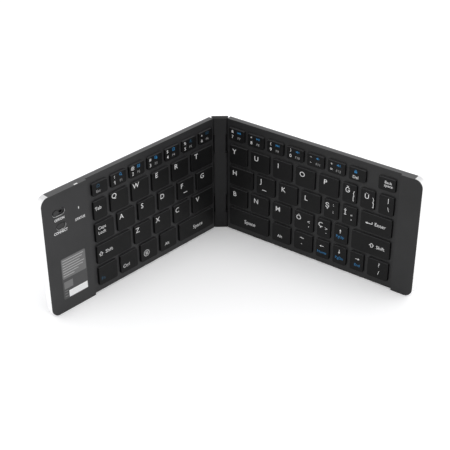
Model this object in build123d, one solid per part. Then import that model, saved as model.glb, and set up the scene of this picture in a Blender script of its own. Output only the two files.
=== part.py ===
from build123d import *
import os
from math import cos, radians, sin

# Folding keyboard: two key panels hinged to a narrow spine, standing half open on
# its long edges.  Millimetres, +Z up, X along the width, the keys facing -Y.
#
# Every panel piece is first drawn as it lies flat on a desk: X runs out from the
# spine, Y up the board towards the number row, Z is the height above the frame's
# key field.  It is then stood up and folded about its hinge axis.

# ---- panels -----------------------------------------------------------------
PANEL_LENGTH = 165.0
FIELD_THICKNESS = 4.4       # frame's key field to the back of the cover
RAISED_STEP = 2.0           # outer ends stand this far above the key field
LEFT_END_WIDTH = 39.45      # raised outer ends, along the panel
RIGHT_END_WIDTH = 16.9
OUTER_CORNER_RADIUS = 6.5
LEFT_FOLD = 45.0            # degrees from flat, as it stands
RIGHT_FOLD = 36.0
CLOSED_FOLD = 90.0

SKIN = 1.2                  # frame's front skin
WALL = 1.2                  # frame's side walls
COVER_SKIN = 1.0
COVER_LIP = 0.4             # the cover's rim reaches this far up the side wall
END_WALL = 1.2              # cover's bright wall round the outer end
FRAME_LIP = 0.6             # the frame's edge that laps over that wall
COVER_EDGE_RADIUS = 0.5
INSIDE_CLEARANCE = 0.2      # inner sheets to the frame's walls

# ---- keys -------------------------------------------------------------------
KEY_HEIGHT = 15.8
ROW_GAP = 2.9
NUMBER_KEY_HEIGHT = 10.4
NUMBER_ROW_GAP = 4.1        # between the number row and the row below it
BOTTOM_MARGIN = 5.3
TOP_MARGIN = 6.3
KEY_GAP = 3.4
NUMBER_KEY_GAP = 3.1
LEFT_INNER_MARGIN = 2.4     # first key to the panel's inner end
RIGHT_INNER_MARGIN = 3.0
RIGHT_NUMBER_MARGIN = 2.1
LEFT_FIELD_MARGIN = 4.65    # last key to the raised end
RIGHT_FIELD_MARGIN = 3.6
KEY_RISE = 1.6              # key top above the frame
KEY_CORNER_RADIUS = 1.5
KEY_TOP_RADIUS = 0.3
KEY_ROOF = 0.8
KEY_SIDE = 0.8
KEY_TRAVEL = 1.0
WELL_GAP = 0.2
FLANGE_WIDTH = 0.8          # the key's rim that the frame holds down
FLANGE_THICKNESS = 0.35
FLANGE_CLEARANCE = 0.05
NUMBER_KEY = 14.4
LETTER_KEY = 16.7
SHORT_KEY = 11.4

# ---- sheets under the keys --------------------------------------------------
PLATE_THICKNESS = 0.3
MEMBRANE_THICKNESS = 0.15
DOME_SHEET_THICKNESS = 0.15
DOME_BASE_RADIUS = 3.0
DOME_TOP_RADIUS = 1.8
DOME_CLEARANCE = 0.1        # dome to the roof of a pressed key
TAIL_WIDTH = 16.0           # the membrane's tail to the spine
TAIL_SLOT_CLEARANCE = 0.15

# ---- spine and hinges -------------------------------------------------------
AXIS_DEPTH = 1.6            # hinge axis behind the key field when flat
AXIS_SETBACK = 3.7          # hinge axis to the panel's inner end
CLOSED_GAP = 0.4            # between the raised ends when closed
SPINE_CLEARANCE = 0.2       # spine to the panel's inner end
SPINE_HALF_WIDTH = 6.4
SPINE_BACK = 1.1            # spine's back behind the hinge axis
SPINE_WALL = 1.1
SPINE_SETBACK = 0.2         # spine ends short of the long edges
PIN_RADIUS = 0.5
PIN_END_INSET = 6.0
PIN_CLEARANCE = 0.06
KNUCKLE_RADIUS = 1.1
KNUCKLE_LENGTH = 16.0
KNUCKLE_INSET = 14.0        # from the long edge
KNUCKLE_CLEARANCE = 0.25
WEB_THICKNESS = 0.8
FLEX_THICKNESS = 0.2
FLEX_SLOT_HEIGHT = 0.7

# ---- controls and electronics in the left raised end ------------------------
# places are measured inwards from the outer end and up from the lower edge
SWITCH_FROM_END = 13.6
SWITCH_UP = 83.1
SWITCH_SLOT_LENGTH = 10.2
SWITCH_SLOT_WIDTH = 5.0
SWITCH_SLOT_DEPTH = 0.8
MOUTH_CHAMFER = 0.4         # round the mouths of the slot and the button's hole
SWITCH_KNOB_LENGTH = 5.0
SWITCH_KNOB_CLEARANCE = 0.4
SWITCH_STEM = 1.4
SWITCH_BODY_HEIGHT = 1.6
SWITCH_BODY_DEPTH = 3.6
CONNECT_FROM_END = 14.8
CONNECT_UP = 71.6
CONNECT_LENGTH = 7.2
CONNECT_WIDTH = 4.3
CONNECT_SINK = 0.35         # the button's face lies below the frame's face
CONNECT_CLEARANCE = 0.3
CONNECT_FLANGE = 0.5
CONNECT_TRAVEL = 0.3
TACT_SIZE = 4.0
LIGHT_FROM_END = 30.8
LIGHT_UP = 79.4
LIGHT_WIDTH = 0.8
LIGHT_LENGTH = 1.8
LIGHT_DEPTH = 1.1
EDGE_LIGHT_WIDTH = 3.0
EDGE_LIGHT_HEIGHT = 1.2
EDGE_LIGHT_BELOW_FACE = 0.5
LABEL_FROM_END = 22.0
LABEL_UP = 27.7
LABEL_WIDTH = 22.2
LABEL_HEIGHT = 34.7
LABEL_RADIUS = 1.5
LABEL_THICKNESS = 0.1
BOARD_THICKNESS = 0.8
BOARD_STANDOFF = 0.4
BOARD_POST_RADIUS = 1.5
BOARD_EDGE_GAP = 1.0        # board to the walls round it
BOARD_LOWER_EDGE = 57.0
BOARD_ARM_WIDTH = 9.5       # arm that runs down to the charging port
CHIP_SIZE = 7.0
CHIP_HEIGHT = 0.9
CHIP_UP = 90.0
PORT_WIDTH = 7.6
PORT_HEIGHT = 2.6
PORT_DEPTH = 5.6
PORT_SHELL = 0.3
PORT_CLEARANCE = 0.15
BATTERY_LENGTH = 44.0
BATTERY_GAP = 0.8           # battery to the board's arm and to the wall's room
BATTERY_THICKNESS = 3.0
BATTERY_UP = 30.0

# ---- fasteners and feet -----------------------------------------------------
SCREW_SHANK_RADIUS = 0.6
SCREW_HEAD_RADIUS = 1.2
SCREW_HEAD_HEIGHT = 0.6
SCREW_CLEARANCE = 0.15
SCREW_BOSS_RADIUS = 1.3
SCREW_TIP_GAP = 0.3
LOWER_SCREW_UP = 2.9
UPPER_SCREW_DOWN = 2.6
SCREW_END_INSET = 9.0
FOOT_RADIUS = 3.5
FOOT_THICKNESS = 0.5
FOOT_INSET = 14.0

# ---- derived sizes ----------------------------------------------------------
ROW_PITCH = KEY_HEIGHT + ROW_GAP
LETTER_ROWS_TOP = BOTTOM_MARGIN + 3 * ROW_PITCH + KEY_HEIGHT
NUMBER_ROW_BOTTOM = LETTER_ROWS_TOP + NUMBER_ROW_GAP
PANEL_HEIGHT = NUMBER_ROW_BOTTOM + NUMBER_KEY_HEIGHT + TOP_MARGIN
COVER_BACK = -FIELD_THICKNESS
COVER_INSIDE = COVER_BACK + COVER_SKIN
COVER_RIM = COVER_INSIDE + COVER_LIP
AXIS_X = AXIS_DEPTH + RAISED_STEP + CLOSED_GAP / 2
INNER_END = AXIS_X + AXIS_SETBACK
SPINE_RADIUS = AXIS_SETBACK - SPINE_CLEARANCE
SPINE_FRONT = AXIS_DEPTH - SPINE_RADIUS
DOME_FLOOR = COVER_INSIDE + PLATE_THICKNESS + MEMBRANE_THICKNESS + DOME_SHEET_THICKNESS
DOME_TOP = KEY_RISE - KEY_ROOF - KEY_TRAVEL - DOME_CLEARANCE
RAISED_INSIDE = RAISED_STEP - SKIN
BOARD_BOTTOM = COVER_INSIDE + BOARD_STANDOFF
BOARD_TOP = BOARD_BOTTOM + BOARD_THICKNESS
KNOB_TRAVEL = SWITCH_SLOT_LENGTH - SWITCH_KNOB_LENGTH - 2 * SWITCH_KNOB_CLEARANCE
LEFT = -1
RIGHT = 1
FOLD = {LEFT: LEFT_FOLD, RIGHT: RIGHT_FOLD}
SIDE_NAME = {LEFT: "left", RIGHT: "right"}
END_WIDTH = {LEFT: LEFT_END_WIDTH, RIGHT: RIGHT_END_WIDTH}
FIELD_MARGIN = {LEFT: LEFT_FIELD_MARGIN, RIGHT: RIGHT_FIELD_MARGIN}

# ---- key layout -------------------------------------------------------------
# Each row runs outwards from the spine: first the distance from the panel's
# inner end, then (key name, width).  Row 0 is the number row.  The widths are
# those of a panel of the length above; the keys of another length share its room.
ROWS = {
    LEFT: [
        (LEFT_INNER_MARGIN,
         [("6", 13.9), ("5", NUMBER_KEY), ("4", NUMBER_KEY), ("3", NUMBER_KEY),
          ("2", NUMBER_KEY), ("1", NUMBER_KEY), ("esc", 14.0)]),
        (LEFT_INNER_MARGIN,
         [("t", 22.5), ("r", LETTER_KEY), ("e", LETTER_KEY), ("w", LETTER_KEY),
          ("q", LETTER_KEY), ("tab", 12.2)]),
        (LEFT_INNER_MARGIN,
         [("g", 17.3), ("f", LETTER_KEY), ("d", LETTER_KEY), ("s", LETTER_KEY),
          ("a", LETTER_KEY), ("caps_lock", 17.4)]),
        (LEFT_INNER_MARGIN,
         [("v", 22.2), ("c", LETTER_KEY), ("x", LETTER_KEY), ("z", LETTER_KEY),
          ("left_shift", 32.6)]),
        (LEFT_INNER_MARGIN,
         [("left_space", 37.2), ("left_alt", LETTER_KEY), ("system", LETTER_KEY),
          ("ctrl", LETTER_KEY), ("fn", 17.6)]),
    ],
    RIGHT: [
        (RIGHT_NUMBER_MARGIN,
         [("7", NUMBER_KEY), ("8", NUMBER_KEY), ("9", NUMBER_KEY), ("0", NUMBER_KEY),
          ("minus", NUMBER_KEY), ("equals", NUMBER_KEY), ("delete", 13.8)]),
        (RIGHT_INNER_MARGIN,
         [("y", 16.2), ("u", LETTER_KEY), ("i", LETTER_KEY), ("o", LETTER_KEY),
          ("p", LETTER_KEY), ("bracket_open", SHORT_KEY), ("bracket_close", SHORT_KEY),
          ("backslash", 11.9)]),
        (RIGHT_INNER_MARGIN,
         [("h", 21.7), ("j", LETTER_KEY), ("k", LETTER_KEY), ("l", LETTER_KEY),
          ("semicolon", 12.0), ("quote", 12.0), ("enter", 25.3)]),
        (RIGHT_INNER_MARGIN,
         [("b", 16.5), ("n", LETTER_KEY), ("m", LETTER_KEY), ("comma", LETTER_KEY),
          ("period", SHORT_KEY), ("arrow_up", SHORT_KEY), ("right_shift", 31.7)]),
        (RIGHT_INNER_MARGIN,
         [("right_space", 36.8), ("right_alt", LETTER_KEY), ("grave", 16.4),
          ("arrow_left", SHORT_KEY), ("arrow_down", SHORT_KEY),
          ("arrow_right", SHORT_KEY), ("slash", 17.0)]),
    ],
}
BACKSPACE_WIDTH = 13.5      # stands apart at the outer end of the right number row

# Keys of one row that share a node, because there are more keys than files.
KEY_GROUPS = {
    "keys_1_to_6": ["1", "2", "3", "4", "5", "6"],
    "keys_q_to_t": ["q", "w", "e", "r", "t"],
    "keys_a_to_g": ["a", "s", "d", "g"],
    "keys_z_to_v": ["z", "x", "c", "v"],
    "keys_7_to_equals": ["7", "8", "9", "0", "minus", "equals"],
    "keys_y_to_bracket": ["y", "u", "i", "o", "p", "bracket_open", "bracket_close"],
    "keys_h_to_quote": ["h", "k", "l", "semicolon", "quote"],
    "keys_b_to_period": ["b", "n", "m", "comma", "period"],
}


def row_bottom(row):
    """Lower edge of a key row; row 0 is the number row and row 4 the lowest."""
    if row == 0:
        return NUMBER_ROW_BOTTOM
    return BOTTOM_MARGIN + (4 - row) * ROW_PITCH


def row_gap(row):
    """The gap between neighbouring keys of a row."""
    return NUMBER_KEY_GAP if row == 0 else KEY_GAP


def raised_start(side):
    """Where the raised outer end begins, from the panel's inner end."""
    return PANEL_LENGTH - END_WIDTH[side]


def field_end(side):
    """Outer edge of the outermost keys."""
    return raised_start(side) - FIELD_MARGIN[side]


def key_share(side):
    """What the widths are multiplied by, so that the fullest row fills the field."""
    shares = []
    for row, (start, names) in enumerate(ROWS[side]):
        room = field_end(side) - start - row_gap(row) * (len(names) - 1)
        shares.append(room / sum(width for name, width in names))
    return min(shares)


def key_table(side):
    """Every key of a panel: name -> (inner edge, outer edge, lower edge, upper edge)."""
    keys = {}
    share = key_share(side)
    for row, (start, names) in enumerate(ROWS[side]):
        height = NUMBER_KEY_HEIGHT if row == 0 else KEY_HEIGHT
        low = row_bottom(row)
        place = start
        for name, width in names:
            keys[name] = (place, place + width * share, low, low + height)
            place += width * share + row_gap(row)
    if side == RIGHT:
        outer = field_end(side)
        low = row_bottom(0)
        keys["backspace"] = (outer - BACKSPACE_WIDTH * share, outer, low,
                             low + NUMBER_KEY_HEIGHT)
    return keys


KEYS = {side: key_table(side) for side in (LEFT, RIGHT)}


def key_nodes(side):
    """Node name -> the keys it holds, on one panel."""
    nodes = {}
    grouped = set()
    for node, names in KEY_GROUPS.items():
        if names[0] in KEYS[side]:
            nodes[node] = names
            grouped.update(names)
    for name in KEYS[side]:
        if name not in grouped:
            nodes["key_" + name] = [name]
    return nodes


# ---- drawing helpers, in the flat desk position -----------------------------
def slab(side, u0, u1, y0, y1, z0, z1):
    """A block from u0 to u1 out from the panel's inner end."""
    centre = (side * (INNER_END + (u0 + u1) / 2), (y0 + y1) / 2, (z0 + z1) / 2)
    return Pos(*centre) * Box(u1 - u0, y1 - y0, z1 - z0)


def at(side, u, y, z):
    """A place on a panel, u out from its inner end."""
    return Pos(side * (INNER_END + u), y, z)


def outline(side, inset, z0, z1):
    """The panel's outline with round outer corners, drawn in by an inset."""
    length = PANEL_LENGTH - 2 * inset
    face = at(side, PANEL_LENGTH / 2, PANEL_HEIGHT / 2, 0) * Rectangle(
        length, PANEL_HEIGHT - 2 * inset)
    corners = face.vertices().sort_by(Axis.X)
    outer = corners[-2:] if side == RIGHT else corners[:2]
    face = fillet(outer, OUTER_CORNER_RADIUS - inset)
    return Pos(0, 0, z0) * extrude(face, z1 - z0)


def rounded(side, box, grow, radius, z0, z1):
    """A round-cornered block over a key's rectangle, grown on all sides."""
    u0, u1, y0, y1 = box
    face = RectangleRounded(u1 - u0 + 2 * grow, y1 - y0 + 2 * grow, radius + grow)
    return at(side, (u0 + u1) / 2, (y0 + y1) / 2, z0) * extrude(face, z1 - z0)


def peg(side, u, y, radius, z0, z1):
    """A round peg or hole, standing on the panel."""
    return at(side, u, y, (z0 + z1) / 2) * Cylinder(radius, z1 - z0)


def oblong(side, u, y, length, width, z0, z1):
    """A slot-shaped block, long along the panel."""
    return at(side, u, y, z0) * extrude(SlotOverall(length, width), z1 - z0)


def flared(side, u, y, length, width):
    """The chamfered mouth of a slot in the raised end's face."""
    grow = 2 * MOUTH_CHAMFER
    mouth = SlotOverall(length + grow, width + grow)
    return at(side, u, y, RAISED_STEP) * extrude(mouth, -MOUTH_CHAMFER, taper=45)


def screw_places(side):
    """The cover's screws, along both long edges of the key field."""
    inner = SCREW_END_INSET
    outer = raised_start(side) - SCREW_END_INSET
    rows = (LOWER_SCREW_UP, PANEL_HEIGHT - UPPER_SCREW_DOWN)
    return [(u, y) for u in (inner, (inner + outer) / 2, outer) for y in rows]


def foot_places():
    """The feet, near the corners of the cover's back."""
    return [(u, y) for u in (FOOT_INSET, PANEL_LENGTH - FOOT_INSET)
            for y in (FOOT_INSET, PANEL_HEIGHT - FOOT_INSET)]


def knuckle_starts():
    """Lower ends of the two knuckles on each hinge line."""
    return (KNUCKLE_INSET, PANEL_HEIGHT - KNUCKLE_INSET - KNUCKLE_LENGTH)


def tail_edges(grow):
    """Lower and upper edges of the cable's way through the inner end."""
    middle = PANEL_HEIGHT / 2
    return middle - TAIL_WIDTH / 2 - grow, middle + TAIL_WIDTH / 2 + grow


# ---- panel shells -----------------------------------------------------------
def knuckle(side, start):
    """Barrel round the hinge axis and the web that ties it to the frame."""
    length = KNUCKLE_LENGTH
    middle = start + length / 2
    axis_z = -AXIS_DEPTH
    barrel = at(side, -AXIS_SETBACK, middle, axis_z) * Rot(90, 0, 0) * Cylinder(
        KNUCKLE_RADIUS, length)
    web = slab(side, -AXIS_SETBACK, WALL, start, start + length,
               COVER_RIM, COVER_RIM + WEB_THICKNESS)
    bore = at(side, -AXIS_SETBACK, middle, axis_z) * Rot(90, 0, 0) * Cylinder(
        PIN_RADIUS + PIN_CLEARANCE, length)
    return barrel + web - bore


def switch_place():
    return PANEL_LENGTH - SWITCH_FROM_END, SWITCH_UP


def connect_place():
    return PANEL_LENGTH - CONNECT_FROM_END, CONNECT_UP


def light_place():
    return PANEL_LENGTH - LIGHT_FROM_END, LIGHT_UP


def port_place():
    """Middle of the charging port's mouth, on the lower edge."""
    arm_inner = raised_start(LEFT) + WALL + BOARD_EDGE_GAP
    return arm_inner + BOARD_ARM_WIDTH / 2


def left_end_openings():
    """What is cut from the left frame for its switch, button, lights and port."""
    u, y = switch_place()
    floor = RAISED_STEP - SWITCH_SLOT_DEPTH
    cuts = oblong(LEFT, u, y, SWITCH_SLOT_LENGTH, SWITCH_SLOT_WIDTH, floor, RAISED_STEP)
    cuts += flared(LEFT, u, y, SWITCH_SLOT_LENGTH, SWITCH_SLOT_WIDTH)
    stem_slot = SWITCH_STEM + KNOB_TRAVEL + 2 * SWITCH_KNOB_CLEARANCE
    stem_width = SWITCH_STEM + SWITCH_KNOB_CLEARANCE
    cuts += at(LEFT, u, y, floor) * Box(stem_slot, stem_width, 2 * SKIN)
    u, y = connect_place()
    grow = 2 * CONNECT_CLEARANCE
    cuts += oblong(LEFT, u, y, CONNECT_LENGTH + grow, CONNECT_WIDTH + grow,
                   RAISED_INSIDE, RAISED_STEP)
    cuts += flared(LEFT, u, y, CONNECT_LENGTH + grow, CONNECT_WIDTH + grow)
    u, y = light_place()
    cuts += at(LEFT, u, y, RAISED_STEP) * Box(LIGHT_WIDTH, LIGHT_LENGTH, 2 * SKIN)
    top = RAISED_STEP - EDGE_LIGHT_BELOW_FACE
    cuts += slab(LEFT, u - EDGE_LIGHT_WIDTH / 2, u + EDGE_LIGHT_WIDTH / 2,
                 PANEL_HEIGHT - WALL, PANEL_HEIGHT, top - EDGE_LIGHT_HEIGHT, top)
    u = port_place()
    half = PORT_WIDTH / 2 + PORT_CLEARANCE
    cuts += slab(LEFT, u - half, u + half, 0, WALL,
                 BOARD_TOP - PORT_CLEARANCE, BOARD_TOP + PORT_HEIGHT + PORT_CLEARANCE)
    return cuts


def front_frame(side):
    """Front shell: key field, raised outer end, side walls, bosses and knuckles."""
    start = raised_start(side)
    body = outline(side, 0, COVER_RIM, RAISED_STEP)
    body -= slab(side, 0, start, 0, PANEL_HEIGHT, 0, RAISED_STEP)
    body -= slab(side, WALL, start + WALL, WALL, PANEL_HEIGHT - WALL, COVER_RIM, -SKIN)
    hollow = outline(side, WALL, COVER_RIM, RAISED_INSIDE)
    body -= hollow - slab(side, 0, start + WALL, 0, PANEL_HEIGHT, COVER_RIM, RAISED_INSIDE)
    body -= end_wall(side)
    for key in KEYS[side].values():
        body -= rounded(side, key, WELL_GAP, KEY_CORNER_RADIUS, -SKIN, 0)
    for u, y in screw_places(side):
        boss = peg(side, u, y, SCREW_BOSS_RADIUS, COVER_INSIDE, -SKIN)
        body += boss - peg(side, u, y, SCREW_SHANK_RADIUS, COVER_INSIDE, -SKIN)
    for low in knuckle_starts():
        body += knuckle(side, low)
    low, high = tail_edges(TAIL_SLOT_CLEARANCE)
    body -= slab(side, 0, WALL, low, high, COVER_RIM, tail_top() + TAIL_SLOT_CLEARANCE)
    if side == LEFT:
        body -= left_end_openings()
    return body


def tail_top():
    """Upper face of the membrane and its tail."""
    return COVER_INSIDE + PLATE_THICKNESS + MEMBRANE_THICKNESS


def end_wall(side):
    """The cover's wall that wraps round the panel's outer end."""
    top = RAISED_STEP - FRAME_LIP
    ring = outline(side, 0, COVER_INSIDE, top) - outline(side, END_WALL, COVER_INSIDE, top)
    keep = slab(side, PANEL_LENGTH - OUTER_CORNER_RADIUS, PANEL_LENGTH, 0, PANEL_HEIGHT,
                COVER_INSIDE, top)
    return ring & keep


def back_cover(side):
    """Back shell: flat plate, low rim, wrapped outer end, screw holes and posts."""
    plate = outline(side, 0, COVER_BACK, COVER_INSIDE)
    back_edges = plate.faces().sort_by(Axis.Z)[0].edges()
    body = fillet(back_edges, COVER_EDGE_RADIUS)
    rim = outline(side, 0, COVER_INSIDE, COVER_RIM) - outline(side, WALL, COVER_INSIDE,
                                                              COVER_RIM)
    body += rim + end_wall(side)
    for u, y in screw_places(side):
        body -= peg(side, u, y, SCREW_SHANK_RADIUS + SCREW_CLEARANCE, COVER_BACK,
                    COVER_INSIDE)
        body -= peg(side, u, y, SCREW_HEAD_RADIUS + SCREW_CLEARANCE, COVER_BACK,
                    COVER_BACK + SCREW_HEAD_HEIGHT)
    low, high = tail_edges(TAIL_SLOT_CLEARANCE)
    body -= slab(side, 0, WALL, low, high, COVER_INSIDE, COVER_RIM)
    if side == LEFT:
        for u, y in board_posts():
            body += peg(side, u, y, BOARD_POST_RADIUS, COVER_INSIDE, BOARD_BOTTOM)
    return body


def cover_screws(side):
    """Countersunk screws from the cover's back into the frame's bosses."""
    tip = -SKIN - SCREW_TIP_GAP
    screws = []
    for u, y in screw_places(side):
        head = peg(side, u, y, SCREW_HEAD_RADIUS, COVER_BACK, COVER_BACK + SCREW_HEAD_HEIGHT)
        shank = peg(side, u, y, SCREW_SHANK_RADIUS, COVER_BACK, tip)
        screws.append(head + shank)
    return screws


def rubber_feet(side):
    """Round feet stuck to the cover's back."""
    return [peg(side, u, y, FOOT_RADIUS, COVER_BACK - FOOT_THICKNESS, COVER_BACK)
            for u, y in foot_places()]


# ---- keys and what lies under them ------------------------------------------
def key_cap(side, box):
    """A hollow key cap with a rim that the frame holds down."""
    rim_top = -SKIN - FLANGE_CLEARANCE
    rim_low = rim_top - FLANGE_THICKNESS
    cap = rounded(side, box, 0, KEY_CORNER_RADIUS, rim_low, KEY_RISE)
    top_edges = cap.faces().sort_by(Axis.Z)[-1].edges()
    cap = fillet(top_edges, KEY_TOP_RADIUS)
    cap += rounded(side, box, FLANGE_WIDTH, KEY_CORNER_RADIUS, rim_low, rim_top)
    inner_radius = KEY_CORNER_RADIUS
    return cap - rounded(side, box, -KEY_SIDE, inner_radius, rim_low, KEY_RISE - KEY_ROOF)


def field_sheet(side, z0, z1):
    """A thin sheet that lies under the whole key field, clear of the bosses."""
    u0 = WALL + INSIDE_CLEARANCE
    u1 = field_end(side) + FLANGE_WIDTH + INSIDE_CLEARANCE
    y0 = LOWER_SCREW_UP + SCREW_BOSS_RADIUS + INSIDE_CLEARANCE
    y1 = PANEL_HEIGHT - UPPER_SCREW_DOWN - SCREW_BOSS_RADIUS - INSIDE_CLEARANCE
    return slab(side, u0, u1, y0, y1, z0, z1)


def membrane(side):
    """Printed switch sheet with its tail out towards the spine."""
    low = COVER_INSIDE + PLATE_THICKNESS
    start, end = tail_edges(0)
    tail = slab(side, 0, WALL + INSIDE_CLEARANCE, start, end, low, tail_top())
    return field_sheet(side, low, tail_top()) + tail


def dome_sheet(side):
    """Rubber sheet with one dome under each key, drawn at its pressed height."""
    sheet = field_sheet(side, tail_top(), DOME_FLOOR)
    height = DOME_TOP - DOME_FLOOR
    for u0, u1, y0, y1 in KEYS[side].values():
        dome = at(side, (u0 + u1) / 2, (y0 + y1) / 2, DOME_FLOOR + height / 2) * Cone(
            DOME_BASE_RADIUS, DOME_TOP_RADIUS, height)
        sheet += dome
    return sheet


# ---- left raised end --------------------------------------------------------
def board_edges():
    """The room for the board: inner, outer, lower and upper edge."""
    inner = raised_start(LEFT) + WALL + BOARD_EDGE_GAP
    outer = PANEL_LENGTH - END_WALL - BOARD_EDGE_GAP
    return inner, outer, WALL, PANEL_HEIGHT - WALL - BOARD_EDGE_GAP


def board_posts():
    """Posts on the cover that carry the board."""
    inner, outer, low, high = board_edges()
    reach = OUTER_CORNER_RADIUS
    return [(inner + reach, high - reach), (outer - reach, high - reach),
            (inner + reach, BOARD_LOWER_EDGE + reach), (outer - reach, BOARD_LOWER_EDGE + reach),
            (inner + BOARD_ARM_WIDTH / 2, low + PORT_DEPTH)]


def main_circuit_board():
    """L-shaped board: controls above, an arm down to the charging port."""
    inner, outer, low, high = board_edges()
    main = slab(LEFT, inner, outer - OUTER_CORNER_RADIUS / 2, BOARD_LOWER_EDGE, high,
                BOARD_BOTTOM, BOARD_TOP)
    arm = slab(LEFT, inner, inner + BOARD_ARM_WIDTH, low, BOARD_LOWER_EDGE,
               BOARD_BOTTOM, BOARD_TOP)
    return main + arm


def controller_chip():
    inner, outer, low, high = board_edges()
    return at(LEFT, (inner + outer) / 2, CHIP_UP, BOARD_TOP + CHIP_HEIGHT / 2) * Box(
        CHIP_SIZE, CHIP_SIZE, CHIP_HEIGHT)


def power_switch_body():
    u, y = switch_place()
    return at(LEFT, u, y, BOARD_TOP + SWITCH_BODY_HEIGHT / 2) * Box(
        SWITCH_SLOT_LENGTH, SWITCH_BODY_DEPTH, SWITCH_BODY_HEIGHT)


def power_switch_knob():
    """Sliding knob, at the outer end of its slot."""
    u, y = switch_place()
    u += KNOB_TRAVEL / 2
    floor = RAISED_STEP - SWITCH_SLOT_DEPTH + FLANGE_CLEARANCE
    width = SWITCH_SLOT_WIDTH - 2 * SWITCH_KNOB_CLEARANCE
    knob = oblong(LEFT, u, y, SWITCH_KNOB_LENGTH, width, floor, RAISED_STEP)
    stem_low = BOARD_TOP + SWITCH_BODY_HEIGHT + FLANGE_CLEARANCE
    stem = at(LEFT, u, y, (stem_low + RAISED_STEP) / 2) * Box(
        SWITCH_STEM, SWITCH_STEM, RAISED_STEP - stem_low)
    return knob + stem


def connect_button():
    """Push button with a rim under the frame's skin."""
    u, y = connect_place()
    rim_top = RAISED_INSIDE - FLANGE_CLEARANCE
    rim_low = rim_top - FLANGE_THICKNESS
    cap = oblong(LEFT, u, y, CONNECT_LENGTH, CONNECT_WIDTH, rim_low,
                 RAISED_STEP - CONNECT_SINK)
    grow = 2 * (CONNECT_CLEARANCE + CONNECT_FLANGE)
    return cap + oblong(LEFT, u, y, CONNECT_LENGTH + grow, CONNECT_WIDTH + grow,
                        rim_low, rim_top)


def connect_switch():
    """Small push switch that the button presses."""
    u, y = connect_place()
    rim_low = RAISED_INSIDE - FLANGE_CLEARANCE - FLANGE_THICKNESS
    top = rim_low - CONNECT_TRAVEL - FLANGE_CLEARANCE
    return at(LEFT, u, y, (BOARD_TOP + top) / 2) * Box(TACT_SIZE, TACT_SIZE, top - BOARD_TOP)


def status_light_guide():
    """White guide that shows as a slit on the face and a window on the upper edge."""
    u, y = light_place()
    bar_top = RAISED_INSIDE
    bar_low = bar_top - LIGHT_DEPTH
    bar_start = y - LIGHT_LENGTH / 2
    bar_end = PANEL_HEIGHT - WALL
    guide = slab(LEFT, u - LIGHT_WIDTH / 2, u + LIGHT_WIDTH / 2, bar_start, bar_end,
                 bar_low, bar_top)
    guide += slab(LEFT, u - LIGHT_WIDTH / 2, u + LIGHT_WIDTH / 2, bar_start,
                  bar_start + LIGHT_LENGTH, bar_low, RAISED_STEP)
    window_top = RAISED_STEP - EDGE_LIGHT_BELOW_FACE
    window_low = window_top - EDGE_LIGHT_HEIGHT
    guide += slab(LEFT, u - EDGE_LIGHT_WIDTH / 2, u + EDGE_LIGHT_WIDTH / 2,
                  bar_end - WALL, bar_end, window_low, bar_top)
    return guide + slab(LEFT, u - EDGE_LIGHT_WIDTH / 2, u + EDGE_LIGHT_WIDTH / 2,
                        bar_end, PANEL_HEIGHT, window_low, window_top)


def charging_port():
    """Metal socket shell with its tongue, open at the lower edge."""
    u = port_place()
    low = BOARD_TOP
    half = PORT_WIDTH / 2
    shell = slab(LEFT, u - half, u + half, 0, PORT_DEPTH, low, low + PORT_HEIGHT)
    shell -= slab(LEFT, u - half + PORT_SHELL, u + half - PORT_SHELL, 0,
                  PORT_DEPTH - PORT_SHELL, low + PORT_SHELL, low + PORT_HEIGHT - PORT_SHELL)
    tongue_half = half / 2
    middle = low + PORT_HEIGHT / 2
    return shell + slab(LEFT, u - tongue_half, u + tongue_half, PORT_SHELL, PORT_DEPTH,
                        middle - PORT_SHELL, middle + PORT_SHELL)


def battery():
    """Flat pouch cell stuck to the inside of the cover."""
    inner, outer, low, high = board_edges()
    return slab(LEFT, inner + BOARD_ARM_WIDTH + BATTERY_GAP, outer - BATTERY_GAP,
                BATTERY_UP - BATTERY_LENGTH / 2, BATTERY_UP + BATTERY_LENGTH / 2,
                COVER_INSIDE, COVER_INSIDE + BATTERY_THICKNESS)


def blank_label():
    """Plain sticker on the raised end."""
    u = PANEL_LENGTH - LABEL_FROM_END
    box = (u - LABEL_WIDTH / 2, u + LABEL_WIDTH / 2,
           LABEL_UP - LABEL_HEIGHT / 2, LABEL_UP + LABEL_HEIGHT / 2)
    return rounded(LEFT, box, 0, LABEL_RADIUS, RAISED_STEP, RAISED_STEP + LABEL_THICKNESS)


# ---- spine, drawn as it stands ----------------------------------------------
def upright(x0, x1, y0, y1, z0, z1):
    return Pos((x0 + x1) / 2, (y0 + y1) / 2, (z0 + z1) / 2) * Box(x1 - x0, y1 - y0, z1 - z0)


def hinge_rod(side, radius, z0, z1):
    """A round bar on a hinge axis."""
    return Pos(side * AXIS_X, AXIS_DEPTH, (z0 + z1) / 2) * Cylinder(radius, z1 - z0)


def spine_body():
    """The whole spine: its front edges are round about the hinge axes."""
    low = SPINE_SETBACK
    high = PANEL_HEIGHT - SPINE_SETBACK
    back = AXIS_DEPTH + SPINE_BACK
    body = upright(-AXIS_X, AXIS_X, SPINE_FRONT, back, low, high)
    for side in (LEFT, RIGHT):
        body += hinge_rod(side, SPINE_RADIUS, low, high)
    body &= upright(-SPINE_HALF_WIDTH, SPINE_HALF_WIDTH, SPINE_FRONT, back, low, high)
    for side in (LEFT, RIGHT):
        body -= hinge_rod(side, PIN_RADIUS, PIN_END_INSET, PANEL_HEIGHT - PIN_END_INSET)
        for start in knuckle_starts():
            body -= knuckle_notch(side, start)
    return body


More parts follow.
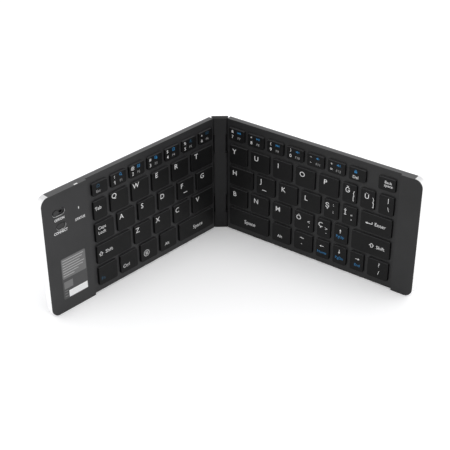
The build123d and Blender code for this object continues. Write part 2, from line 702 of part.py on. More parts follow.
def knuckle_notch(side, start):
    """The room that a knuckle and its web sweep from flat to closed."""
    z0 = start - KNUCKLE_CLEARANCE
    z1 = start + KNUCKLE_LENGTH + KNUCKLE_CLEARANCE
    room = KNUCKLE_RADIUS + KNUCKLE_CLEARANCE
    web_side = FIELD_THICKNESS - COVER_SKIN - COVER_LIP - WEB_THICKNESS - AXIS_DEPTH
    front_edge = AXIS_X + web_side - KNUCKLE_CLEARANCE
    reach = SPINE_HALF_WIDTH + SPINE_CLEARANCE
    back = AXIS_DEPTH + SPINE_BACK
    notch = hinge_rod(side, room, z0, z1)
    front = sorted((side * front_edge, side * reach))
    notch += upright(*front, SPINE_FRONT, AXIS_DEPTH, z0, z1)
    rear = sorted((side * (AXIS_X - room), side * reach))
    return notch + upright(*rear, AXIS_DEPTH, back, z0, z1)


def spine_room():
    """The hollow down the middle of the spine, which the flat cable crosses."""
    half = AXIS_X - PIN_RADIUS - SPINE_WALL / 2
    room = upright(-half, half, SPINE_FRONT + SPINE_WALL, AXIS_DEPTH, PIN_END_INSET,
                   PANEL_HEIGHT - PIN_END_INSET)
    for start in knuckle_starts():
        wall = upright(-AXIS_X, AXIS_X, SPINE_FRONT, AXIS_DEPTH, start - SPINE_WALL,
                       start + KNUCKLE_LENGTH + SPINE_WALL)
        room -= wall
    low, high = tail_edges(TAIL_SLOT_CLEARANCE)
    front = flex_front()
    slot = upright(-SPINE_HALF_WIDTH, SPINE_HALF_WIDTH, front, front + FLEX_SLOT_HEIGHT,
                   low, high)
    return room + slot


def flex_front():
    """Front of the cable's slot, just clear of the pins."""
    return AXIS_DEPTH - PIN_RADIUS - FLEX_SLOT_HEIGHT - TAIL_SLOT_CLEARANCE


def spine_front_cover():
    keep = upright(-SPINE_HALF_WIDTH, SPINE_HALF_WIDTH, SPINE_FRONT, AXIS_DEPTH, 0,
                   PANEL_HEIGHT)
    return (spine_body() & keep) - spine_room()


def spine_back_cover():
    keep = upright(-SPINE_HALF_WIDTH, SPINE_HALF_WIDTH, AXIS_DEPTH, AXIS_DEPTH + SPINE_BACK,
                   0, PANEL_HEIGHT)
    return spine_body() & keep


def hinge_pins():
    return [hinge_rod(side, PIN_RADIUS, PIN_END_INSET, PANEL_HEIGHT - PIN_END_INSET)
            for side in (LEFT, RIGHT)]


def spine_flex():
    """The flat cable's middle stretch, lying in the spine's slot."""
    low, high = tail_edges(0)
    front = flex_front()
    half = SPINE_HALF_WIDTH - SPINE_CLEARANCE
    return upright(-half, half, front, front + FLEX_THICKNESS, low, high)


# ---- assembly ---------------------------------------------------------------
def folded(side):
    """Stands a flat panel up and turns it about its hinge axis."""
    hinge = Pos(side * AXIS_X, AXIS_DEPTH, 0)
    unhinge = Pos(-side * AXIS_X, -AXIS_DEPTH, 0)
    return hinge * Rot(0, 0, -side * FOLD[side]) * unhinge * Rot(90, 0, 0)


def panel_nodes(side):
    """All nodes of one panel, still lying flat."""
    name = SIDE_NAME[side]
    plate_top = COVER_INSIDE + PLATE_THICKNESS
    nodes = {
        name + "_front_frame": [front_frame(side)],
        name + "_back_cover": [back_cover(side)],
        name + "_key_plate": [field_sheet(side, COVER_INSIDE, plate_top)],
        name + "_membrane": [membrane(side)],
        name + "_dome_sheet": [dome_sheet(side)],
        name + "_rubber_feet": rubber_feet(side),
        name + "_cover_screws": cover_screws(side),
    }
    for node, names in key_nodes(side).items():
        nodes[node] = [key_cap(side, KEYS[side][key]) for key in names]
    return nodes


def left_end_nodes():
    """Controls and electronics of the left raised end, still lying flat."""
    return {
        "main_circuit_board": [main_circuit_board()],
        "controller_chip": [controller_chip()],
        "power_switch_body": [power_switch_body()],
        "power_switch_knob": [power_switch_knob()],
        "connect_button": [connect_button()],
        "connect_switch": [connect_switch()],
        "status_light_guide": [status_light_guide()],
        "charging_port": [charging_port()],
        "battery": [battery()],
        "blank_label": [blank_label()],
    }


def spine_nodes():
    return {
        "spine_front_cover": [spine_front_cover()],
        "spine_back_cover": [spine_back_cover()],
        "hinge_pins": hinge_pins(),
        "spine_flex": [spine_flex()],
    }


def on_panel(side, u, height, front):
    """A panel place in the standing spine frame: out, up and forward of the field."""
    turn = radians(FOLD[side])
    x = AXIS_X + (AXIS_SETBACK + u) * cos(turn) - (AXIS_DEPTH + front) * sin(turn)
    y = AXIS_DEPTH - (AXIS_SETBACK + u) * sin(turn) - (AXIS_DEPTH + front) * cos(turn)
    return side * x, y, height


def origin_shift():
    """Moves the middle of the outer box to X = Y = 0."""
    depths = (COVER_BACK, RAISED_STEP)
    places = [on_panel(side, u, 0, depth) for side in (LEFT, RIGHT)
              for u in (0, PANEL_LENGTH) for depth in depths]
    across = [place[0] for place in places]
    deep = [place[1] for place in places] + [AXIS_DEPTH + SPINE_BACK]
    return -(min(across) + max(across)) / 2, -(min(deep) + max(deep)) / 2


def export_nodes(nodes, place):
    """Writes each node's solids to its own STEP file."""
    for name, solids in nodes.items():
        moved = [place * solid for solid in solids]
        shape = moved[0] if len(moved) == 1 else Compound(children=moved)
        export_step(shape, "parts/" + name + ".step")


def main():
    os.makedirs("parts", exist_ok=True)
    centre = Pos(*origin_shift(), 0)
    for side in (LEFT, RIGHT):
        nodes = panel_nodes(side)
        if side == LEFT:
            nodes.update(left_end_nodes())
        export_nodes(nodes, centre * folded(side))
    export_nodes(spine_nodes(), centre)


main()
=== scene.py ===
from math import cos, hypot, radians, sin

import bmesh
import bpy
from mathutils import Matrix, Vector


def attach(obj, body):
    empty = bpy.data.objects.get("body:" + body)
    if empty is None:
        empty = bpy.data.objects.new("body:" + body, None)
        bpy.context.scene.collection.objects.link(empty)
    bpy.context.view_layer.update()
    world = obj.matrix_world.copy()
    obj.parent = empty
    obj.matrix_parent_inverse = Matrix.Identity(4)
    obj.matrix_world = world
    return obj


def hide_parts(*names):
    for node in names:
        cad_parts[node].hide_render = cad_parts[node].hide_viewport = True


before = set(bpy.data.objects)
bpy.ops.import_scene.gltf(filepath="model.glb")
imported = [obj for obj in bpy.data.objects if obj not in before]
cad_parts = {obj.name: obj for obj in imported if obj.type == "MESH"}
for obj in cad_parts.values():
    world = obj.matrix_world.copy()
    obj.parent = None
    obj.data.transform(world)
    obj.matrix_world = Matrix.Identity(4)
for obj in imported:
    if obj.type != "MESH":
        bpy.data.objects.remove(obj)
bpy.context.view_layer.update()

MM = 0.001

# ---- the same sizes as the solids, in millimetres ---------------------------
PANEL_LENGTH = 165.0
FIELD_THICKNESS = 4.4
RAISED_STEP = 2.0
PANEL_HEIGHT = 98.0
AXIS_DEPTH = 1.6
AXIS_SETBACK = 3.7
AXIS_X = 3.8
SPINE_BACK = 2.7
LEFT = -1
RIGHT = 1
FOLD = {LEFT: radians(45.0), RIGHT: radians(36.0)}
SIDE_NAME = {LEFT: "left", RIGHT: "right"}
PANEL_BODY = {LEFT: "left_panel", RIGHT: "right_panel"}
COVER_DEPTHS = (-FIELD_THICKNESS, RAISED_STEP)
END_CORNER = 6.55

KEY_RISE = 1.6
KEY_SKIRT = -1.0
KEY_CORNER = 1.5
KEY_EDGE = 0.22
KEY_DRAFT = 0.05
BOTTOM_MARGIN = 5.3
KEY_HEIGHT = 15.8
ROW_PITCH = 18.7
NUMBER_ROW_BOTTOM = 81.3
NUMBER_KEY_HEIGHT = 10.4
KEY_GAP = 3.4
NUMBER_KEY_GAP = 3.1
LETTER_KEY = 16.7
NUMBER_KEY = 14.4
SHORT_KEY = 11.4
BACKSPACE_WIDTH = 13.5
RIGHT_FIELD_END = 144.5
LEFT_MARGIN = 2.4
RIGHT_MARGIN = 3.0
RIGHT_NUMBER_MARGIN = 2.1
LAST_ROW = 4

# Each row runs outwards from the spine: the margin at the panel's inner end, then
# (node, width) for every key. Row 0 is the number row.
ROWS = {
    LEFT: [
        (LEFT_MARGIN, [("keys_1_to_6", 13.9)] + [("keys_1_to_6", NUMBER_KEY)] * 5
         + [("key_esc", 14.0)]),
        (LEFT_MARGIN, [("keys_q_to_t", 22.5)] + [("keys_q_to_t", LETTER_KEY)] * 4
         + [("key_tab", 12.2)]),
        (LEFT_MARGIN, [("keys_a_to_g", 17.3), ("key_f", LETTER_KEY)]
         + [("keys_a_to_g", LETTER_KEY)] * 3 + [("key_caps_lock", 17.4)]),
        (LEFT_MARGIN, [("keys_z_to_v", 22.2)] + [("keys_z_to_v", LETTER_KEY)] * 3
         + [("key_left_shift", 32.6)]),
        (LEFT_MARGIN, [("key_left_space", 37.2), ("key_left_alt", LETTER_KEY),
                       ("key_system", LETTER_KEY), ("key_ctrl", LETTER_KEY), ("key_fn", 17.6)]),
    ],
    RIGHT: [
        (RIGHT_NUMBER_MARGIN, [("keys_7_to_equals", NUMBER_KEY)] * 6 + [("key_delete", 13.8)]),
        (RIGHT_MARGIN, [("keys_y_to_bracket", 16.2)] + [("keys_y_to_bracket", LETTER_KEY)] * 4
         + [("keys_y_to_bracket", SHORT_KEY)] * 2 + [("key_backslash", 11.9)]),
        (RIGHT_MARGIN, [("keys_h_to_quote", 21.7), ("key_j", LETTER_KEY)]
         + [("keys_h_to_quote", LETTER_KEY)] * 2 + [("keys_h_to_quote", 12.0)] * 2
         + [("key_enter", 25.3)]),
        (RIGHT_MARGIN, [("keys_b_to_period", 16.5)] + [("keys_b_to_period", LETTER_KEY)] * 3
         + [("keys_b_to_period", SHORT_KEY), ("key_arrow_up", SHORT_KEY),
            ("key_right_shift", 31.7)]),
        (RIGHT_MARGIN, [("key_right_space", 36.8), ("key_right_alt", LETTER_KEY),
                        ("key_grave", 16.4), ("key_arrow_left", SHORT_KEY),
                        ("key_arrow_down", SHORT_KEY), ("key_arrow_right", SHORT_KEY),
                        ("key_slash", 17.0)]),
    ],
}


def on_panel(side, out, height, front):
    """A panel place in the standing spine frame, in millimetres."""
    turn = FOLD[side]
    x = AXIS_X + (AXIS_SETBACK + out) * cos(turn) - (AXIS_DEPTH + front) * sin(turn)
    y = AXIS_DEPTH - (AXIS_SETBACK + out) * sin(turn) - (AXIS_DEPTH + front) * cos(turn)
    return Vector((side * x, y, height))


def origin_shift():
    """From the spine's middle to the middle of the outer box."""
    places = [on_panel(side, out, 0, depth) for side in (LEFT, RIGHT)
              for out in (0, PANEL_LENGTH) for depth in COVER_DEPTHS]
    across = [place.x for place in places]
    deep = [place.y for place in places] + [SPINE_BACK]
    return Vector((-(min(across) + max(across)) / 2, -(min(deep) + max(deep)) / 2, 0))


SHIFT = origin_shift()


def panel_matrix(side):
    """Desk position (X = side * distance out, Y up the board, Z forward) to the row frame."""
    turn = FOLD[side]
    along = Vector((cos(turn), -side * sin(turn), 0))
    up = Vector((0, 0, 1))
    front = Vector((-side * sin(turn), -cos(turn), 0))
    place = on_panel(side, 0, 0, 0) + SHIFT
    matrix = Matrix((along, up, front)).transposed().to_4x4()
    matrix.translation = place
    return Matrix.Scale(MM, 4) @ matrix


PANEL = {side: panel_matrix(side) for side in (LEFT, RIGHT)}


# ---- materials --------------------------------------------------------------
def node(tree, kind, **values):
    """A shader node with its properties and its sockets' values set."""
    made = tree.nodes.new(kind)
    for key, value in values.items():
        if hasattr(made, key):
            setattr(made, key, value)
        else:
            made.inputs[key.replace("_", " ")].default_value = value
    return made


def material(name):
    """A node material: itself, its tree, its shader and the piece's own coordinates."""
    made = bpy.data.materials.new(name)
    made.use_nodes = True
    tree = made.node_tree
    shader = tree.nodes["Principled BSDF"]
    place = node(tree, "ShaderNodeTexCoord")
    return made, tree, shader, place.outputs["Object"]


def noise(tree, place, scale, detail=4.0, stretch=None, roughness=0.5):
    """Noise over the piece's own coordinates, in repeats per metre."""
    if stretch:
        mapping = node(tree, "ShaderNodeMapping")
        mapping.inputs["Scale"].default_value = stretch
        tree.links.new(place, mapping.inputs["Vector"])
        place = mapping.outputs["Vector"]
    made = node(tree, "ShaderNodeTexNoise", Scale=scale, Detail=detail, Roughness=roughness)
    tree.links.new(place, made.inputs["Vector"])
    return made.outputs["Fac"]


def ramp(tree, source, low, high, start=0.3, end=0.7):
    """Maps a source's start..end to low..high, as a number or a colour."""
    if isinstance(low, (int, float)):
        made = node(tree, "ShaderNodeMapRange")
        made.inputs["From Min"].default_value = start
        made.inputs["From Max"].default_value = end
        made.inputs["To Min"].default_value = low
        made.inputs["To Max"].default_value = high
        tree.links.new(source, made.inputs["Value"])
        return made.outputs["Result"]
    made = node(tree, "ShaderNodeValToRGB")
    made.color_ramp.elements[0].position = start
    made.color_ramp.elements[1].position = end
    made.color_ramp.elements[0].color = (*low, 1)
    made.color_ramp.elements[1].color = (*high, 1)
    tree.links.new(source, made.inputs["Fac"])
    return made.outputs["Color"]


def bump(tree, shader, source, distance, strength=1.0):
    """Bump of that many metres, stacked on any bump already there."""
    made = node(tree, "ShaderNodeBump", Strength=strength, Distance=distance)
    tree.links.new(source, made.inputs["Height"])
    if shader.inputs["Normal"].links:
        tree.links.new(shader.inputs["Normal"].links[0].from_socket, made.inputs["Normal"])
    tree.links.new(made.outputs["Normal"], shader.inputs["Normal"])


def shade(colour, factor):
    """A colour made darker or lighter, at most white."""
    return tuple(min(1.0, channel * factor) for channel in colour)


def plastic(name, colour, rough, grain, grain_depth, specular=0.5, spread=0.12, coat=0.0):
    """Moulded plastic: spark-eroded grain, slow colour drift and a handled sheen."""
    made, tree, shader, place = material(name)
    drift = noise(tree, place, 35.0, 3.0)
    tint = ramp(tree, drift, shade(colour, 1 - spread), shade(colour, 1 + spread))
    tree.links.new(tint, shader.inputs["Base Color"])
    handled = noise(tree, place, 90.0, 5.0)
    tree.links.new(ramp(tree, handled, rough - 0.05, rough + 0.05), shader.inputs["Roughness"])
    shader.inputs["Specular IOR Level"].default_value = specular
    shader.inputs["Coat Weight"].default_value = coat
    bump(tree, shader, noise(tree, place, grain, 2.0), grain_depth)
    return made


def metal(name, colour, rough, brushed=None, spread=0.05):
    """Metal with fine brush lines along the stretch direction."""
    made, tree, shader, place = material(name)
    lines = noise(tree, place, 1.0, 6.0, brushed or (900, 900, 900), 0.6)
    tint = ramp(tree, lines, shade(colour, 1 - spread), shade(colour, 1 + spread))
    tree.links.new(tint, shader.inputs["Base Color"])
    tree.links.new(ramp(tree, lines, rough - 0.06, rough + 0.08), shader.inputs["Roughness"])
    shader.inputs["Metallic"].default_value = 1.0
    bump(tree, shader, lines, 0.00001, 0.4)
    return made


def ink(name, colour):
    """Printed ink: slightly uneven in cover."""
    made, tree, shader, place = material(name)
    cover = noise(tree, place, 2500.0, 2.0)
    tree.links.new(ramp(tree, cover, shade(colour, 0.86), colour), shader.inputs["Base Color"])
    shader.inputs["Roughness"].default_value = 0.5
    shader.inputs["Specular IOR Level"].default_value = 0.3
    bump(tree, shader, cover, 0.000005)
    return made


SHELL = plastic("shell_plastic", (0.022, 0.022, 0.023), 0.42, 5200.0, 0.00003, 0.38)
# Painted shade: the right panel's frame is the same plastic made darker and less glossy, for the
# lesser light on that side.
SHELL_RIGHT_PAINTED_SHADE = plastic("shell_plastic_right_painted_shade", (0.018, 0.018, 0.0185), 0.42, 5200.0, 0.00003, 0.30)
# Painted highlight: the frame's long top and bottom walls are this lighter plastic, standing in
# for the light from above.
SHELL_EDGE_PAINTED_HIGHLIGHT = plastic("shell_edge_painted_highlight", (0.070, 0.070, 0.071), 0.4, 5200.0, 0.00002, 0.5)
# Painted highlight: this pale plastic on the slot mouths' lower lips, and on the strips drawn
# along them, stands in for the light caught there.
MOUTH_PAINTED_HIGHLIGHT = plastic("shell_mouth_painted_highlight", (0.36, 0.36, 0.362), 0.35, 5200.0, 0.00001, 0.5)
# Painted light: the keys' upward-facing walls are this lighter plastic, standing in for the
# light that falls on them from above.
KEY_WALL_PAINTED_LIGHT = plastic("key_wall_painted_light", (0.040, 0.040, 0.041), 0.45, 6500.0, 0.00002, 0.3, 0.10)
KEYTOP = plastic("key_plastic", (0.0070, 0.0070, 0.0072), 0.40, 6500.0, 0.00002, 0.14, 0.10)
SPINE_SKIN = plastic("spine_plastic", (0.011, 0.011, 0.0115), 0.45, 5200.0, 0.00003, 0.18)
CONTROL = plastic("control_plastic", (0.030, 0.030, 0.031), 0.45, 5000.0, 0.00002, 0.35)
LABEL = plastic("label_film", (0.060, 0.060, 0.061), 0.35, 1500.0, 0.00001, 0.4, 0.05)
LABEL_PANE = plastic("label_pane", (0.165, 0.165, 0.165), 0.35, 1500.0, 0.00001, 0.4, 0.05)
FOOT = plastic("foot_rubber", (0.022, 0.022, 0.022), 0.8, 3000.0, 0.00004, 0.3)
DOME = plastic("dome_rubber", (0.012, 0.012, 0.012), 0.7, 1500.0, 0.00003, 0.2)
GUIDE = plastic("light_guide", (0.85, 0.85, 0.84), 0.3, 900.0, 0.00001, 0.5, 0.03)
FLEX = plastic("flex_film", (0.10, 0.05, 0.012), 0.3, 700.0, 0.00001, 0.5, 0.1, 0.3)
BOARD = plastic("board_mask", (0.012, 0.07, 0.03), 0.35, 700.0, 0.00001, 0.5, 0.15, 0.2)
CELL = plastic("cell_pouch", (0.35, 0.36, 0.37), 0.35, 500.0, 0.00003, 0.5, 0.08)
COVER = metal("cover_aluminium", (0.56, 0.565, 0.575), 0.32, (60, 60, 9000))
# Painted reflection: the cover's outer end walls are near-white, standing in for the white
# surroundings they mirror.
COVER_END_PAINTED_REFLECTION = metal("cover_end_painted_reflection", (0.97, 0.97, 0.97), 0.36, (60, 60, 9000), 0.02)
# Painted shade: the cover's long rims are this dark metal, standing in for the dark reflection
# they show from above.
RIM_PAINTED_SHADE = metal("cover_rim_painted_shade", (0.16, 0.16, 0.162), 0.4, (60, 60, 9000))
STEEL = metal("steel", (0.55, 0.55, 0.56), 0.3)
WHITE_INK = ink("white_ink", (0.90, 0.90, 0.90))
LABEL_RULE = ink("label_rule", (0.50, 0.50, 0.50))
GREY_INK = ink("grey_ink", (0.42, 0.42, 0.42))
BLUE_INK = ink("blue_ink", (0.028, 0.21, 0.46))
DIM_INK = ink("dim_blue_ink", (0.022, 0.085, 0.15))
FIELD_INK = ink("label_field_ink", (0.98, 0.98, 0.98))
PATCH_INK = ink("label_patch", (0.20, 0.20, 0.20))


# ---- mesh helpers -----------------------------------------------------------
MERGE_DISTANCE = 1e-5       # in millimetres, for pieces drawn here
SOLID_MERGE_DISTANCE = 2e-6  # in metres, for the solids' meshes
FLAT_ANGLE = radians(0.5)
SHARP_ANGLE = radians(40)
BEVEL_SEGMENTS = 2
CORNER_STEPS = 5
LEAST_ROUNDING = 0.15
EDGE_SLACK = 0.1
LIP_DEPTH = 0.5


def repaint(mesh, side, rules):
    """Gives faces another material by where they are on their panel."""
    to_panel = PANEL[side].inverted()
    turn = to_panel.to_3x3()
    for index, (paint, test) in enumerate(rules, 1):
        mesh.materials.append(paint)
        for face in mesh.polygons:
            normal = (turn @ face.normal).normalized()
            if test(side, to_panel @ face.center, normal):
                face.material_index = index


def on_upper_wall(side, place, normal):
    """The side of a key that faces up the board, given a lighter plastic as painted light from
    above.
    """
    return normal.y > 0.5


def on_long_edge(side, place, normal):
    """The two long outer edges of a panel: the frame's get a painted highlight, the cover's a
    painted shade.
    """
    return (abs(normal.y) > 0.9
            and not EDGE_SLACK < place.y < PANEL_HEIGHT - EDGE_SLACK)


def on_outer_end(side, place, normal):
    """The wall that wraps a panel's outer end, made near-white as a painted reflection of the
    pale room.
    """
    return side * place.x > PANEL_LENGTH - END_CORNER and abs(normal.z) < 0.9


def on_lower_mouth(side, place, normal):
    """The flared lower lips of the switch slot and the button's hole, given a pale plastic as a
    painted highlight.
    """
    return (side == LEFT and 0.5 < normal.z < 0.9 and normal.y > 0.1
            and RAISED_STEP - LIP_DEPTH < place.z < RAISED_STEP)


def finish_mesh(name, bm, side, body, paint, nodes=(), smooth=True, rules=()):
    """Turns a bmesh drawn on one panel into a piece that rides on a body."""
    bmesh.ops.remove_doubles(bm, verts=bm.verts, dist=MERGE_DISTANCE)
    bmesh.ops.recalc_face_normals(bm, faces=bm.faces)
    mesh = bpy.data.meshes.new(name)
    bm.to_mesh(mesh)
    bm.free()
    mesh.transform(PANEL[side])
    for face in mesh.polygons:
        face.use_smooth = smooth
    mesh.materials.append(paint)
    repaint(mesh, side, rules)
    piece = bpy.data.objects.new(name, mesh)
    bpy.context.scene.collection.objects.link(piece)
    if smooth:
        weighted = piece.modifiers.new("even_shading", "WEIGHTED_NORMAL")
        weighted.keep_sharp = True
    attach(piece, body)
    if nodes:
        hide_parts(*nodes)
    return piece


def loop_points(x0, x1, y0, y1, radius, grow):
    """A rounded rectangle's points, counter-clockwise, grown on all sides."""
    rounding = max(radius + grow, LEAST_ROUNDING)
    points = []
    corners = ((x1 + grow - rounding, y1 + grow - rounding, 0),
               (x0 - grow + rounding, y1 + grow - rounding, 90),
               (x0 - grow + rounding, y0 - grow + rounding, 180),
               (x1 + grow - rounding, y0 - grow + rounding, 270))
    for cx, cy, start in corners:
        for step in range(CORNER_STEPS + 1):
            angle = radians(start + 90 * step / CORNER_STEPS)
            points.append((cx + rounding * cos(angle), cy + rounding * sin(angle)))
    return points


def stack(bm, rings):
    """A closed body through rings of points, lowest first."""
    made = [[bm.verts.new(point) for point in ring] for ring in rings]
    for low, high in zip(made, made[1:]):
        for i in range(len(low)):
            j = (i + 1) % len(low)
            bm.faces.new((low[i], low[j], high[j], high[i]))
    bm.faces.new(made[-1])
    bm.faces.new(list(reversed(made[0])))


def lift(points, z):
    """Flat points at a height above the panel."""
    return [(x, y, z) for x, y in points]


def softened(name, width, side, body, paint, rules=()):
    """A copy of a CAD node's shape with its sharp edges rounded."""
    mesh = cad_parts[name].data.copy()
    bm = bmesh.new()
    bm.from_mesh(mesh)
    bmesh.ops.remove_doubles(bm, verts=bm.verts, dist=SOLID_MERGE_DISTANCE)
    bmesh.ops.dissolve_limit(bm, angle_limit=FLAT_ANGLE, verts=bm.verts, edges=bm.edges)
    bm.to_mesh(mesh)
    bm.free()
    mesh.materials.clear()
    mesh.materials.append(paint)
    repaint(mesh, side, rules)
    for face in mesh.polygons:
        face.use_smooth = True
    piece = bpy.data.objects.new("soft_" + name, mesh)
    bpy.context.scene.collection.objects.link(piece)
    edge = piece.modifiers.new("edge", "BEVEL")
    edge.width = width * MM
    edge.segments = BEVEL_SEGMENTS
    edge.limit_method = "ANGLE"
    edge.angle_limit = SHARP_ANGLE
    edge.use_clamp_overlap = True
    edge.miter_outer = "MITER_ARC"
    weighted = piece.modifiers.new("even_shading", "WEIGHTED_NORMAL")
    weighted.keep_sharp = True
    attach(piece, body)
    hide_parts(name)
    return piece


# ---- keys -------------------------------------------------------------------
KEY_EDGE_STEPS = 4


def row_bottom(row):
    """Height up the board of a row's lower edge."""
    if row == 0:
        return NUMBER_ROW_BOTTOM
    return BOTTOM_MARGIN + (LAST_ROW - row) * ROW_PITCH


def key_boxes(side):
    """Node name -> the (inner, outer, lower, upper) edges of its keys."""
    boxes = {}
    for row, (start, keys) in enumerate(ROWS[side]):
        height = NUMBER_KEY_HEIGHT if row == 0 else KEY_HEIGHT
        gap = NUMBER_KEY_GAP if row == 0 else KEY_GAP
        low = row_bottom(row)
        place = start
        for name, width in keys:
            boxes.setdefault(name, []).append((place, place + width, low, low + height))
            place += width + gap
    if side == RIGHT:
        boxes["key_backspace"] = [(RIGHT_FIELD_END - BACKSPACE_WIDTH, RIGHT_FIELD_END,
                                   NUMBER_ROW_BOTTOM, NUMBER_ROW_BOTTOM + NUMBER_KEY_HEIGHT)]
    return boxes


def key_cap(bm, side, box):
    """One cap: upright sides, a rounded upper edge and a flat top."""
    inner, outer, low, high = box
    x0, x1 = sorted((side * inner, side * outer))

    def ring(grow, z):
        return lift(loop_points(x0, x1, low, high, KEY_CORNER, grow), z)

    rings = [ring(0, KEY_SKIRT), ring(0, 0), ring(-KEY_DRAFT, KEY_RISE - KEY_EDGE)]
    for step in range(1, KEY_EDGE_STEPS + 1):
        angle = radians(90 * step / KEY_EDGE_STEPS)
        rings.append(ring(-KEY_DRAFT - KEY_EDGE * (1 - cos(angle)),
                          KEY_RISE - KEY_EDGE * (1 - sin(angle))))
    stack(bm, rings)


for side in (LEFT, RIGHT):
    for name, boxes in key_boxes(side).items():
        bm = bmesh.new()
        for box in boxes:
            key_cap(bm, side, box)
        finish_mesh("cap_" + name, bm, side, name + "_body", KEYTOP, (name,),
                    rules=((KEY_WALL_PAINTED_LIGHT, on_upper_wall),))

# ---- printed legends --------------------------------------------------------
# Sizes of letters are capital heights in millimetres.
PRINT_SINK = 0.06
PRINT_RISE = 0.012
PRINT_WEIGHT = 0.002        # how far strokes are thickened, as a share of the capital height
CURVE_STEPS = 3
LETTER_CAP = 4.0
WORD_CAP = 2.7
SPACE_CAP = 3.1
ALT_CAP = 2.5
LOCK_CAP = 2.5
DIGIT_CAP = 2.6
SIGN_CAP = 2.3
SMALL_CAP = 1.9
ESC_CAP = 2.1
DELETE_CAP = 2.3
BACKSPACE_CAP = 2.1
PAGE_CAP = 2.2
SIGN_UP = 89.2
DIGIT_UP = 84.8
ICON_UP = {LEFT: 89.4, RIGHT: 89.2}
FUNCTION_UP = {LEFT: 84.7, RIGHT: 84.5}
CAP_OF_SIZE = 0.682         # the built-in font's capital height, as a share of its size


def text_mesh(words, cap, weight):
    """The built-in font's letters as a thin solid, centred on X = Y = 0."""
    data = bpy.data.curves.new("words", "FONT")
    data.body = words
    data.size = cap / CAP_OF_SIZE
    data.extrude = (PRINT_SINK + PRINT_RISE) / 2
    data.offset = weight * cap
    data.resolution_u = CURVE_STEPS
    holder = bpy.data.objects.new("words", data)
    bpy.context.scene.collection.objects.link(holder)
    bpy.context.view_layer.update()
    mesh = bpy.data.meshes.new_from_object(holder)
    bpy.data.objects.remove(holder)
    xs = [v.co.x for v in mesh.vertices]
    ys = [v.co.y for v in mesh.vertices]
    mesh.transform(Matrix.Translation((-(min(xs) + max(xs)) / 2, -(min(ys) + max(ys)) / 2, 0)))
    return mesh


def put_words(bm, words, x, y, z, cap, weight=PRINT_WEIGHT, width=None):
    """Adds printed words to a bmesh, centred on a place of the surface at height z."""
    mesh = text_mesh(words, cap, weight)
    if width:
        drawn = max(v.co.x for v in mesh.vertices) * 2
        mesh.transform(Matrix.Diagonal((width / drawn, 1, 1, 1)))
    mesh.transform(Matrix.Translation((x, y, z + (PRINT_RISE - PRINT_SINK) / 2)))
    bm.from_mesh(mesh)
    bpy.data.meshes.remove(mesh)


def prism(bm, points, z, low=PRINT_SINK, high=PRINT_RISE):
    """Adds a thin solid over a closed outline, from z - low to z + high."""
    bottom = [bm.verts.new((x, y, z - low)) for x, y in points]
    top = [bm.verts.new((x, y, z + high)) for x, y in points]
    bm.faces.new(top)
    bm.faces.new(list(reversed(bottom)))
    for i in range(len(points)):
        j = (i + 1) % len(points)
        bm.faces.new((bottom[i], bottom[j], top[j], top[i]))


def slab(bm, x0, x1, y0, y1, z, low=PRINT_SINK, high=PRINT_RISE):
    """A thin upright rectangle."""
    prism(bm, [(x0, y0), (x1, y0), (x1, y1), (x0, y1)], z, low, high)


def stroke(bm, start, end, width, z):
    """A straight printed line."""
    (x0, y0), (x1, y1) = start, end
    length = hypot(x1 - x0, y1 - y0)
    across = (-(y1 - y0) / length * width / 2, (x1 - x0) / length * width / 2)
    prism(bm, [(x0 - across[0], y0 - across[1]), (x1 - across[0], y1 - across[1]),
               (x1 + across[0], y1 + across[1]), (x0 + across[0], y0 + across[1])], z)


def strokes(bm, points, width, z, closed=False):
    """A printed line through points, overlapping a little at its corners."""
    ends = points[1:] + points[:1] if closed else points[1:]
    for start, end in zip(points, ends):
        (x0, y0), (x1, y1) = start, end
        length = hypot(x1 - x0, y1 - y0)
        dx, dy = (x1 - x0) / length * width / 2, (y1 - y0) / length * width / 2
        stroke(bm, (x0 - dx, y0 - dy), (x1 + dx, y1 + dy), width, z)


def arc(cx, cy, radius, start, end, steps):
    """Points along part of a circle, in degrees."""
    return [(cx + radius * cos(radians(start + (end - start) * i / steps)),
             cy + radius * sin(radians(start + (end - start) * i / steps)))
            for i in range(steps + 1)]


def band(bm, cx, cy, radius, width, z, start=0.0, end=360.0, steps=24):
    """A printed ring, or part of one."""
    outer = arc(cx, cy, radius + width / 2, start, end, steps)
    inner = arc(cx, cy, radius - width / 2, start, end, steps)
    for i in range(steps):
        prism(bm, [inner[i], outer[i], outer[i + 1], inner[i + 1]], z)


def moved(points, x, y, scale=1.0):
    """Points drawn about the origin, brought to a place."""
    return [(x + px * scale, y + py * scale) for px, py in points]


# Each icon is drawn about its own middle, about 3 mm across.
SPEAKER = [(-1.5, -0.4), (-0.8, -0.4), (0.0, -1.1), (0.0, 1.1), (-0.8, 0.4), (-1.5, 0.4)]
TRIANGLE = [(-0.75, -0.9), (0.75, 0.0), (-0.75, 0.9)]


def icon_home(bm, x, y, z):
    strokes(bm, moved([(-1.1, -1.1), (1.1, -1.1), (1.1, 0.2), (0, 1.2), (-1.1, 0.2)], x, y), 0.4,
            z, closed=True)


def icon_search(bm, x, y, z):
    band(bm, x - 0.3, y + 0.4, 0.85, 0.38, z)
    stroke(bm, (x + 0.3, y - 0.25), (x + 1.2, y - 1.2), 0.45, z)


def icon_select(bm, x, y, z):
    for dx in (-0.75, 0.75):
        for dy in (-0.7, 0.7):
            slab(bm, x + dx - 0.5, x + dx + 0.5, y + dy - 0.45, y + dy + 0.45, z)


def icon_copy(bm, x, y, z):
    box = [(-0.8, -0.9), (0.8, -0.9), (0.8, 0.9), (-0.8, 0.9)]
    strokes(bm, moved(box, x - 0.45, y + 0.4), 0.36, z, closed=True)
    prism(bm, moved(box, x + 0.5, y - 0.4, 0.95), z)


